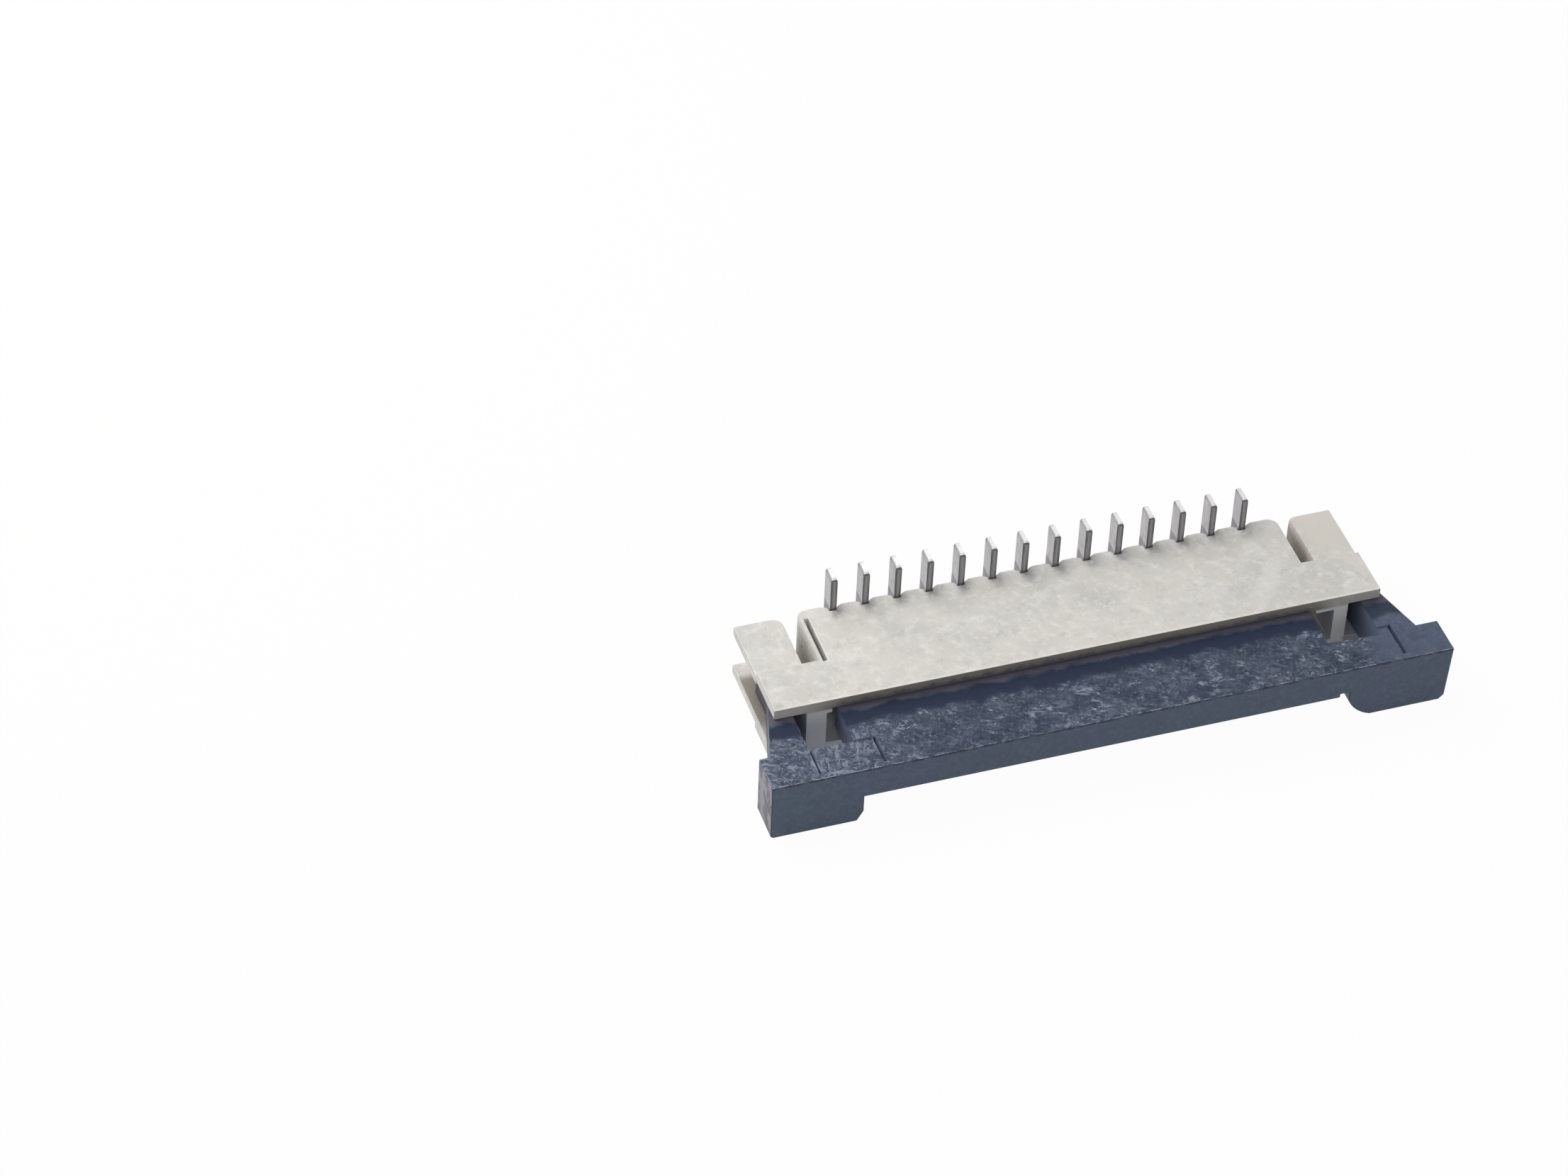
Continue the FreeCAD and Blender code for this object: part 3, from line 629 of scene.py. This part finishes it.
def lay_cream_ground(finish, colours, up):
    """Clouds, fine mottle, flow lines and scuffs. Returns the relief that they make with the grain."""
    mottle = finish.pattern("cream_mottle")
    flow = flow_lines(finish)
    scuffs = finish.group(torn_flecks(), Fleck_Scale=6500.0, Turn=0.9, Amount=0.55)["Flecks"]
    curls = finish.group(torn_strokes(), Stroke_Scale=3200.0, Turn=-0.4, Width=0.035)["Strokes"]
    finish.begin(finish.cloud, colours.cream, colours.grey_cloud)
    finish.lay(colours.warm_cloud, finish.second_cloud, 0.42)
    finish.lay(colours.pale, mottle, 0.60)
    finish.lay(colours.dull_patch_and_edge_shade, finish.pattern("cream_shade"), 0.34)
    finish.lay(colours.pale, flow, 0.35)
    finish.lay(colours.pale, finish.math("MAXIMUM", scuffs, curls), up, 0.50)
    finish.lay(colours.warm_cloud, up, finish.at("right_ear"), finish.at("right_ear_rear"), 0.90)
    return finish.total(0.0, (finish.grain, 0.5), (mottle, 0.5), (flow, 0.4), (scuffs, 0.6))


def lay_plate_edge_shade(finish, colours, front, shade_noise):
    """Painted shade on the front edge of the plate, deeper on its lower half and paler towards its ends."""
    strip = finish.product(front, finish.at("strip_height"), finish.at("strip_front"))
    inwards = finish.product(finish.at("off_left_end"), finish.at("off_right_end"))
    ragged = finish.math("MULTIPLY", finish.math("SUBTRACT", shade_noise, 0.5), 160 * MICRON)
    finish.lay(colours.dull_patch_and_edge_shade, strip, finish.total(0.55, (shade_noise, 0.35)), finish.total(0.70, (inwards, 0.30)))
    finish.lay(colours.front_edge_shade, strip, inwards, 0.75)
    finish.lay(colours.low_edge_shade, strip, finish.at("strip_low_edge", ragged), inwards, 0.85)


def lay_mouth_shade_and_end_light(finish, colours, front):
    """Painted bluish shade in the cable mouth, and painted light on the side walls' ends that show through
    the slider's windows.
    """
    # Painted bluish shade inside the mouth.
    finish.lay(colours.mouth, finish.at("under_plate"), finish.at("mouth_depth"), finish.at("mouth_width"),
               finish.opposite(front), 0.85)
    below = finish.product(front, finish.at("under_plate"))
    left = finish.at("left_half")
    # Painted light on the wall ends, with a bluish reflected light on the left one, brightest at its foot.
    finish.lay(colours.left_end_light, below, left, 0.75)
    finish.lay(colours.right_end_light, below, finish.opposite(left))
    finish.lay(colours.lit_wall_foot, below, finish.at("lit_wall_foot"), left)
    # Painted shade on the low front faces beside the right window.
    finish.lay(colours.recess_shade, below, finish.at("far_wall"), finish.at("right_of_window"), 0.85)


def cream_moulding(colours):
    """Natural cream plastic: clouds, mottle, flow lines and dark specks, with painted light, shade and
    shadows.
    """
    finish = Finish("cream_moulding", cloud_scale=620.0, grain_scale=9000.0)
    up = finish.turned("up")
    front = finish.turned("forwards")
    shade_noise = finish.pattern("shade_noise")
    height = lay_cream_ground(finish, colours, up)
    # Painted soft shadow in front of each tail.
    finish.lay(colours.painted_shade, painted_tail_shadows(finish), up, 0.60)
    # Painted highlight along the front lip of the plate's top, broken.
    finish.lay(colours.pale, finish.at("plate_lip"), up, finish.pattern("lip_breaks"), 0.70)
    lay_plate_edge_shade(finish, colours, front, shade_noise)
    # Painted shade in the slots and on the low ledges.
    finish.lay(colours.recess_shade, shaded_recesses(finish, up, shade_noise))
    # Painted brown shade on the side wall's face in the right slot.
    finish.lay(colours.right_slot_shade, finish.turned("left"), finish.at("right_slot"), finish.at("right_slot_rear"),
               finish.at("right_slot_low"), 0.55)
    lay_mouth_shade_and_end_light(finish, colours, front)
    finish.lay(colours.speck, dark_specks(finish), 0.70)
    # Painted highlight on the upward rims.
    finish.lay(colours.pale, finish.rim, finish.turned("upper_rim"), 0.70)
    finish.lay(colours.grey_edge, finish.rim, finish.at("outer_side"), finish.turned("side_rim"), 0.60)
    return finish.done(finish.total(0.46, (finish.second_cloud, 0.16)), height, 8 * MICRON, 0.6)


def torn_face(finish, up):
    """Masks of the slider's upward face: torn part, open tearing, the strip that the plate rubs smooth and
    shadows, and the shade under the plate's edge.
    """
    wander = noise_value(finish.tree, finish.place, 1300.0, detail=4.0, roughness=0.6)
    drift = finish.math("MULTIPLY", finish.math("SUBTRACT", wander, 0.5), 1.2 * MM)
    rubbed_shaded_band = finish.at("rubbed_and_shaded_strip", finish.math("MULTIPLY", drift, 0.8))
    shade_fringe = finish.at("shade_under_plate_edge", finish.math("MULTIPLY", drift, 0.5))
    calm_end = finish.at("calm_end", finish.math("MULTIPLY", drift, 2.0))
    torn = finish.product(up, finish.opposite(calm_end))
    open_part = finish.product(torn, finish.total(1.0, (rubbed_shaded_band, -0.9)))
    return torn, open_part, finish.product(up, rubbed_shaded_band), finish.product(up, shade_fringe)


def fleck_layers(finish):
    """Slivers and curved strokes of torn plastic, several sizes and directions at once."""
    layers = []
    for scale, turn, amount in ((6800.0, 0.30, 0.80), (9800.0, 0.75, 0.74)):
        layer = finish.group(torn_flecks(), Fleck_Scale=scale, Turn=turn, Amount=amount)
        layers.append(layer["Flecks"])
    for scale, turn, width in ((4800.0, 0.20, 0.030), (6800.0, -0.55, 0.026)):
        layer = finish.group(torn_strokes(), Stroke_Scale=scale, Turn=turn, Width=width)
        layers.append(layer["Strokes"])
    upright = finish.group(torn_flecks(), Fleck_Scale=9000.0, Turn=-1.26, Amount=1.35)
    layers.append(finish.product(upright["Flecks"], finish.at("left_window_left"),
                                 finish.at("left_window_right"), finish.at("before_window")))
    flecks = layers[0]
    for layer in layers[1:]:
        flecks = finish.math("MAXIMUM", flecks, layer)
    return flecks


def lay_torn_face(finish, colours):
    """Smooth sides, the torn upward face, and the painted shadow and shade in front of the plate. Returns
    the torn part, the rubbed and shaded strip and the height.
    """
    up = finish.turned("flat_up")
    torn, open_part, rubbed_shaded_band, shade_fringe = torn_face(finish, up)
    mottle = finish.pattern("slate_mottle")
    lighter_end = finish.at("lighter_end")
    density = finish.math("MAXIMUM", finish.total(0.24, (finish.pattern("fleck_patches"), 0.76)),
                          finish.math("MULTIPLY", lighter_end, 0.80))
    flecks = finish.product(fleck_layers(finish), open_part, density)
    blotch = finish.product(mottle, open_part, finish.total(0.05, (density, 0.20)))
    hollow = finish.product(finish.pattern("pits"), open_part, 0.55)
    finish.begin(finish.cloud, colours.slate, colours.green_cloud)
    finish.lay(colours.fleck, mottle, 0.06)
    finish.lay(colours.torn_ground, finish.pattern("slate_faint"), finish.total(0.14, (up, 0.20)))
    finish.lay(colours.torn_ground, torn, finish.total(1.0, (lighter_end, -0.35)), 0.95)
    finish.lay(colours.fleck, finish.pattern("swell"), open_part, 0.09)
    finish.lay(colours.fleck, blotch)
    finish.lay(colours.pit_and_shade, hollow)
    finish.lay(colours.fleck, flecks)
    # Painted shadow of the plate on the strip that it rubs smooth, and a brownish painted shade under its
    # edge.
    finish.lay(colours.rubbed_shaded_band, rubbed_shaded_band, 0.95)
    finish.lay(colours.shade_fringe, shade_fringe, 0.85)
    return torn, rubbed_shaded_band, finish.total(0.0, (flecks, 1.6), (blotch, 1.0), (hollow, -1.2))


def lay_slider_steps(finish, colours):
    """Painted shade in the creases, and the pale and dark edges of the shallow steps in front of the
    windows, the pale one painted light.
    """
    # Painted shade in the creases in front of the windows.
    finish.lay(colours.pit_and_shade, finish.at("step_level"), finish.at("crease_front"), finish.turned("flat_up"),
               finish.total(0.40, (finish.at("left_half"), 0.40)))
    # Painted light on the walls of the shallow steps.
    finish.lay(colours.fleck, finish.turned("step_wall"), finish.at("step_wall"),
               finish.at("step_wall_rear"), 0.45)
    finish.lay(colours.pit_and_shade, finish.turned("lip"), finish.at("lip_height"), finish.at("lip_front"),
               finish.pattern("seam"), 0.75)


def lay_slider_sides(finish, colours):
    """Painted shade on the left arm's side, painted light on the windows' walls, and the left block's end.
    Returns the end's scrapes.
    """
    leftwards = finish.turned("arm_left")
    block_end = finish.product(leftwards, finish.at("left_block_end"))
    streaks = finish.pattern("end_streaks", finish.mapped(Scale=(1.0, 1.0, 0.45)))
    scrapes = finish.product(block_end, finish.total(0.14, (streaks, 0.62)))
    finish.lay(colours.arm_shade, leftwards, finish.at("left_arm"), finish.at("left_arm_rear"), 0.85)
    # Painted light on the windows' walls.
    finish.lay(colours.fleck, finish.turned("window_wall"), finish.at("window_width"),
               finish.at("window_height"), 0.16)
    finish.lay(colours.block_end, block_end, 0.70)
    finish.lay(colours.scrape, scrapes)
    return scrapes


def slate_moulding(colours):
    """Dark blue-grey filled plastic: smooth sides, an upward face torn into pale flecks and pits, and
    painted light, shade and highlights.
    """
    finish = Finish("slate_moulding", cloud_scale=420.0, grain_scale=9000.0)
    torn, rubbed_shaded_band, height = lay_torn_face(finish, colours)
    lay_slider_steps(finish, colours)
    scrapes = lay_slider_sides(finish, colours)
    # Painted highlight along the upper rims, broken.
    finish.lay(colours.fleck, finish.rim, finish.pattern("rim_breaks"), finish.turned("slider_upper_rim"),
               finish.opposite(rubbed_shaded_band), 0.70)
    # Painted shade on the lower rims.
    finish.lay(colours.pit_and_shade, finish.rim, finish.turned("slider_lower_rim"), 0.55)
    finish.shader.inputs["Specular IOR Level"].default_value = 0.25
    height = finish.total(height, (finish.grain, 0.16), (scrapes, 0.8))
    return finish.done(finish.total(0.50, (torn, 0.25)), height, 9 * MICRON, 0.7)


def tinned_strip(colours):
    """Satin tin on the rolled faces, duller cut edges painted darker as shade with a paler stripe along the
    middle, and painted highlights on the tips.
    """
    finish = Finish("tinned_strip", cloud_scale=3000.0, grain_scale=26000.0)
    tree = finish.tree
    edge_on = finish.turned("sheared_edge")
    tip = finish.turned("tip")
    lines = noise_value(tree, finish.mapped(Scale=(1.0, 1.0, 0.05)), 17000.0)
    finish.begin(between(tree, lines, 0.40, 0.66), colours.shaded_cut_metal, colours.shear_line)
    finish.lay(colours.shear_middle, finish.beside_contact("middle_stripe"))
    finish.lay(colours.shear_side, finish.beside_contact("side_stripes"), 0.75)
    shaded_cut_metal = finish.colour
    finish.begin(finish.math("MULTIPLY", finish.cloud, 0.6), colours.tin, colours.tin_cloud)
    finish.lay(colours.tin_line, between(tree, lines, 0.50, 0.70), 0.50)
    # Cut faces: duller metal, painted darker as shade.
    finish.lay(shaded_cut_metal, edge_on)
    # Painted highlight on the upward ends of the tails.
    finish.lay(colours.tip, tip)
    ends = finish.math("MAXIMUM", finish.at("tip_front"), finish.at("tip_rear"))
    outline = finish.math("MAXIMUM", finish.beside_contact("tip_outline"), ends)
    finish.lay(colours.tip_outline, tip, outline, 0.88)
    finish.lay(colours.tail_foot, finish.at("tail_foot"), 0.60)
    finish.lay(colours.tin_rim, finish.rim, finish.opposite(tip), 0.50)
    finish.shader.inputs["Metallic"].default_value = 1.0
    roughness = finish.total(0.32, (finish.second_cloud, 0.10), (edge_on, 0.20))
    height = finish.total(finish.grain, (lines, 0.6))
    return finish.done(roughness, height, 2 * MICRON, 0.4)


# Pieces

def only(piece):
    """Selects one object and makes it the active one."""
    bpy.ops.object.select_all(action="DESELECT")
    piece.select_set(True)
    bpy.context.view_layer.objects.active = piece


def copy_of_node(node, name):
    """A clean copy of a CAD node's mesh: merged, with its flat faces whole again."""
    piece = bpy.data.objects.new(name, node.data.copy())
    bpy.context.scene.collection.objects.link(piece)
    only(piece)
    bpy.ops.mesh.customdata_custom_splitnormals_clear()
    bpy.ops.object.mode_set(mode="EDIT")
    bpy.ops.mesh.select_all(action="SELECT")
    bpy.ops.mesh.remove_doubles(threshold=MERGE_WITHIN)
    bpy.ops.mesh.dissolve_limited(angle_limit=FLAT_WITHIN)
    bpy.ops.mesh.select_all(action="DESELECT")
    bpy.ops.object.mode_set(mode="OBJECT")
    return piece


def select_sharp_edges(piece, width, bend):
    """Selects the edges that are bent and have room for a rounding of that width."""
    mesh = bmesh.from_edit_mesh(piece.data)
    room = ROOM_PER_WIDTH * width
    chosen = 0
    for edge in mesh.edges:
        if not edge.is_manifold or edge.calc_face_angle() < bend:
            continue
        beside = [other for vertex in edge.verts for other in vertex.link_edges]
        if min(other.calc_length() for other in beside) > room:
            edge.select_set(True)
            chosen += 1
    bmesh.update_edit_mesh(piece.data)
    if not chosen:
        raise RuntimeError(f"{piece.name} has no edge to break")


def break_edges(piece, width, edges):
    """Rounds the sharp edges, marks the roundings as rim, and keeps the flats flat in the shading.

    The roundings come out with the second material, which tells them from the flats.
    """
    only(piece)
    bpy.ops.object.mode_set(mode="EDIT")
    bpy.ops.mesh.select_mode(type="EDGE")
    bpy.ops.mesh.select_all(action="DESELECT")
    select_sharp_edges(piece, width, edges.sharp_from)
    bpy.ops.mesh.bevel(offset_type="OFFSET", offset=width, segments=edges.segments, profile=0.5,
                       affect="EDGES", clamp_overlap=False, miter_outer="SHARP", material=1)
    bpy.ops.object.mode_set(mode="OBJECT")
    mesh = piece.data
    rim = mesh.attributes.new(RIM, "FLOAT", "FACE")
    rim.data.foreach_set("value", [float(face.material_index == 1) for face in mesh.polygons])
    bpy.ops.object.shade_smooth_by_angle(angle=SMOOTH_UP_TO)
    flat = piece.modifiers.new("Flat faces", "WEIGHTED_NORMAL")
    flat.keep_sharp = True
    flat.weight = 100
    bpy.ops.object.modifier_apply(modifier=flat.name)


def dress(node_name, piece_name, width, body, material):
    """Makes the softened copy that stands for one CAD node, on its body."""
    piece = copy_of_node(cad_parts[node_name], piece_name)
    piece.data.materials.clear()
    piece.data.materials.append(material)
    piece.data.materials.append(material)
    break_edges(piece, width, bpy.context.scene.connector_edges)
    for face in piece.data.polygons:
        face.material_index = 0
    piece.data.materials.pop()
    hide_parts(node_name)
    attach(piece, body)
    return piece


class CONNECTOR_OT_dress_housing(bpy.types.Operator):
    """Softens the housing and gives it the cream moulding"""

    bl_idname = "connector.dress_housing"
    bl_label = "Dress the housing"

    def execute(self, context):
        width = context.scene.connector_edges.housing_edge
        material = cream_moulding(context.scene.connector_housing)
        dress("housing", "housing_moulding", width, HOUSING_BODY, material)
        return {"FINISHED"}


class CONNECTOR_OT_dress_slider(bpy.types.Operator):
    """Softens the slider and gives it the slate moulding"""

    bl_idname = "connector.dress_slider"
    bl_label = "Dress the slider"

    def execute(self, context):
        width = context.scene.connector_edges.slider_edge
        material = slate_moulding(context.scene.connector_slider)
        dress("slider", "slider_moulding", width, SLIDER_BODY, material)
        return {"FINISHED"}


class CONNECTOR_OT_dress_contacts(bpy.types.Operator):
    """Softens each contact and gives it the tinned strip"""

    bl_idname = "connector.dress_contacts"
    bl_label = "Dress the contacts"

    def execute(self, context):
        width = context.scene.connector_edges.contact_edge
        material = tinned_strip(context.scene.connector_contacts)
        for name in CONTACTS:
            dress(name, name.replace("contact", "tail"), width, HOUSING_BODY, material)
        return {"FINISHED"}


# Stage

def seen_directly(tree):
    """1 for what the camera, a reflection or a clear piece sees, 0 for what lights the object."""
    path = tree.nodes.new("ShaderNodeLightPath")
    seen = calculate(tree, "ADD", path.outputs["Is Camera Ray"], path.outputs["Is Glossy Ray"])
    return calculate(tree, "ADD", seen, path.outputs["Is Transmission Ray"], clamp=True)


def floor_finish(stage):
    """White floor that keeps a little of the object's shadow."""
    material = bpy.data.materials.new("white_floor")
    material.use_nodes = True
    tree = material.node_tree
    tree.nodes.clear()
    out = tree.nodes.new("ShaderNodeOutputMaterial")
    matt = add_node(tree, "ShaderNodeBsdfDiffuse", Color=(*stage.floor_colour, 1.0))
    glow = add_node(tree, "ShaderNodeEmission", Color=(1.0, 1.0, 1.0, 1.0), Strength=1.0)
    mix = tree.nodes.new("ShaderNodeMixShader")
    tree.links.new(calculate(tree, "MULTIPLY", seen_directly(tree), 1.0 - stage.floor_shade), mix.inputs[0])
    tree.links.new(matt.outputs[0], mix.inputs[1])
    tree.links.new(glow.outputs[0], mix.inputs[2])
    tree.links.new(mix.outputs[0], out.inputs["Surface"])
    return material


def add_soft_lamp(name, place, side, colour, power):
    """A square lamp at place, turned to the object."""
    data = bpy.data.lights.new(name, "AREA")
    data.shape = "SQUARE"
    data.size = side
    data.energy = power
    data.color = colour
    lamp = bpy.data.objects.new(name, data)
    bpy.context.scene.collection.objects.link(lamp)
    lamp.location = place
    lamp.rotation_mode = "QUATERNION"
    lamp.rotation_quaternion = (Vector(LAMP_TARGET) - Vector(place)).to_track_quat("-Z", "Y")


class CONNECTOR_OT_set_stage(bpy.types.Operator):
    """Sets the floor, the surrounding light, the lamps and the camera"""

    bl_idname = "connector.set_stage"
    bl_label = "Set the stage"

    def execute(self, context):
        stage = context.scene.connector_stage
        self.make_floor(stage)
        self.make_sky(context.scene, stage)
        add_soft_lamp("key_lamp", power=stage.key_power, **KEY_LAMP)
        add_soft_lamp("fill_lamp", power=stage.fill_power, **FILL_LAMP)
        self.make_camera(context.scene, stage)
        context.scene.view_settings.view_transform = "Standard"
        return {"FINISHED"}

    def make_floor(self, stage):
        bpy.ops.object.select_all(action="DESELECT")
        bpy.ops.mesh.primitive_plane_add(size=stage.floor_side, location=(0, 0, -FLOOR_DROP))
        floor = bpy.context.active_object
        floor.name = "floor"
        floor.data.materials.append(floor_finish(stage))

    def make_sky(self, scene, stage):
        world = bpy.data.worlds.new("even_sky")
        scene.world = world
        world.use_nodes = True
        tree = world.node_tree
        sky = tree.nodes["Background"]
        sky.inputs["Color"].default_value = (1.0, 1.0, 1.0, 1.0)
        lift = calculate(tree, "MULTIPLY", seen_directly(tree), 1.0 - stage.sky)
        tree.links.new(calculate(tree, "ADD", lift, stage.sky), sky.inputs["Strength"])

    def make_camera(self, scene, stage):
        data = bpy.data.cameras.new("photo_camera")
        data.sensor_fit = "HORIZONTAL"
        data.sensor_width = SENSOR_WIDTH
        data.lens = stage.lens
        data.clip_start = 0.005
        data.clip_end = 10.0
        camera = bpy.data.objects.new("photo_camera", data)
        scene.collection.objects.link(camera)
        right = Vector(CAMERA_RIGHT)
        up = Vector(CAMERA_UP)
        turn = Matrix((right, up, right.cross(up))).transposed()
        camera.matrix_world = Matrix.Translation(CAMERA_PLACE) @ turn.to_4x4()
        scene.camera = camera


class CONNECTOR_PT_panel(bpy.types.Panel):
    """Sizes, colours and steps of the connector"""

    bl_idname = "CONNECTOR_PT_panel"
    bl_label = "Flat cable connector"
    bl_space_type = "VIEW_3D"
    bl_region_type = "UI"
    bl_category = "Connector"

    def draw(self, context):
        for attribute, group in SETTINGS.items():
            settings = getattr(context.scene, attribute)
            box = self.layout.box()
            box.label(text=group.__doc__)
            for name in group.__annotations__:
                box.prop(settings, name)
        for operator in OPERATORS:
            self.layout.operator(operator.bl_idname)


OPERATORS = (CONNECTOR_OT_dress_housing, CONNECTOR_OT_dress_slider, CONNECTOR_OT_dress_contacts,
             CONNECTOR_OT_set_stage)
SETTINGS = {"connector_edges": ConnectorEdges, "connector_housing": HousingColours,
            "connector_slider": SliderColours, "connector_contacts": ContactColours,
            "connector_stage": ConnectorStage}
CLASSES = (*SETTINGS.values(), *OPERATORS, CONNECTOR_PT_panel)


def register():
    for item in CLASSES:
        bpy.utils.register_class(item)
    for attribute, group in SETTINGS.items():
        setattr(bpy.types.Scene, attribute, bpy.props.PointerProperty(type=group))


def unregister():
    for attribute in SETTINGS:
        delattr(bpy.types.Scene, attribute)
    for item in reversed(CLASSES):
        bpy.utils.unregister_class(item)


def main():
    register()
    bpy.ops.connector.dress_housing()
    bpy.ops.connector.dress_slider()
    bpy.ops.connector.dress_contacts()
    bpy.ops.connector.set_stage()


if __name__ == "__main__":
    main()
